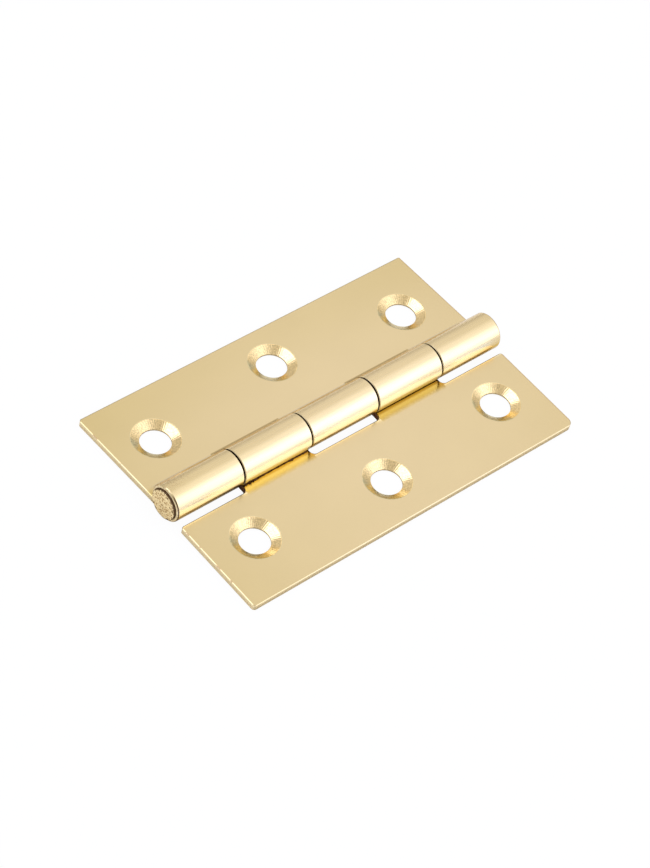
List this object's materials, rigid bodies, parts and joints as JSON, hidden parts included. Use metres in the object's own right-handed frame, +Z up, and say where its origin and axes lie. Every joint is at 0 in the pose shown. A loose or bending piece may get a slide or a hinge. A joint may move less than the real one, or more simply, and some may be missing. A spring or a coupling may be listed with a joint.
{
  "type": "butt hinge",
  "caption": "Pressed butt hinge with rolled interleaved knuckles, a headed fixed pin and staggered countersunk screw holes, opened out flat.",
  "frame": {"origin": "On the resting surface, under the pin axis, at the middle of the whole length over the pin head", "axes": "+Y along the pin away from its head, +X from the pin towards the two-knuckle leaf, +Z up through the countersunk faces"},
  "size_m": [0.048, 0.0758, 0.0071],
  "materials": {
    "brassed_sheet": "bright electro-brass plate under clear lacquer, on pressed steel",
    "brassed_wire": "brass-plated steel wire, hammered head, under the same lacquer"
  },
  "bodies": {
    "fixed_leaf": {"three_knuckle_leaf": "brassed_sheet", "hinge_pin": "brassed_wire"},
    "swinging_leaf": {"two_knuckle_leaf": "brassed_sheet"}
  },
  "joints": [
    {"name": "leaf_swing", "type": "hinge", "parent": "fixed_leaf", "child": "swinging_leaf", "pos_m": [0, 0.00042, 0.00354], "axis": [0, -1, 0], "range_deg": [-102, 182]}
  ]
}
